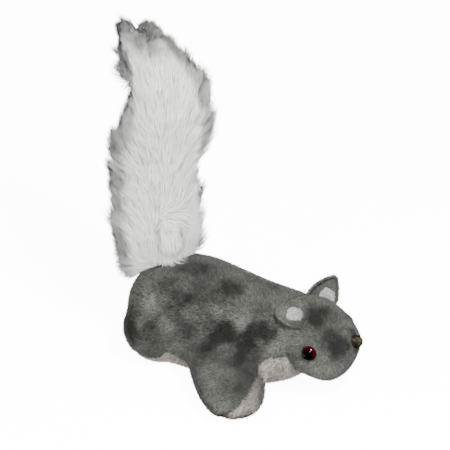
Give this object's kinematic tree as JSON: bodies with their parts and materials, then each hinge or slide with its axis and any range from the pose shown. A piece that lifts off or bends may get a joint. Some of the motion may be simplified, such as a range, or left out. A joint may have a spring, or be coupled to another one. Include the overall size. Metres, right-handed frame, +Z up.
{
  "type": "plush squirrel",
  "caption": "Soft plush squirrel toy lying on its belly, with splayed forelegs, a rounded head, cupped ears, domed eyes and a tall upright tail of long fur.",
  "frame": {"origin": "middle of the flat spot of the belly that the toy rests on", "axes": "+X towards the head, +Y to the toy's left, +Z up along the tail"},
  "size_m": [0.2438, 0.2024, 0.3082],
  "materials": {
    "grey_plush": "short mottled pile",
    "pale_plush": "short pale pile",
    "white_fur": "long pile",
    "grey_fur": "long pile with darker tips",
    "fibre": "loose polyester fibre",
    "ruby_plastic": "gloss",
    "black_plastic": "gloss",
    "olive_yarn": "stitched yarn",
    "milky_plastic": "moulded"
  },
  "bodies": {
    "root": {"side_panel_left": "grey_plush", "side_panel_right": "grey_plush", "belly_gusset": "pale_plush", "body_stuffing": "fibre", "head_panel_left": "grey_plush", "head_panel_right": "grey_plush", "head_gusset": "grey_plush", "head_stuffing": "fibre", "ear_left": "grey_plush", "ear_left_lining": "pale_plush", "ear_right": "grey_plush", "ear_right_lining": "pale_plush", "eye_left_cap": "ruby_plastic", "eye_left_pupil": "black_plastic", "eye_left_washer": "milky_plastic", "eye_right_cap": "ruby_plastic", "eye_right_pupil": "black_plastic", "eye_right_washer": "milky_plastic", "nose": "olive_yarn", "tail_front_fur": "white_fur", "tail_back_fur": "grey_fur", "tail_stuffing": "fibre"}
  },
  "joints": []
}
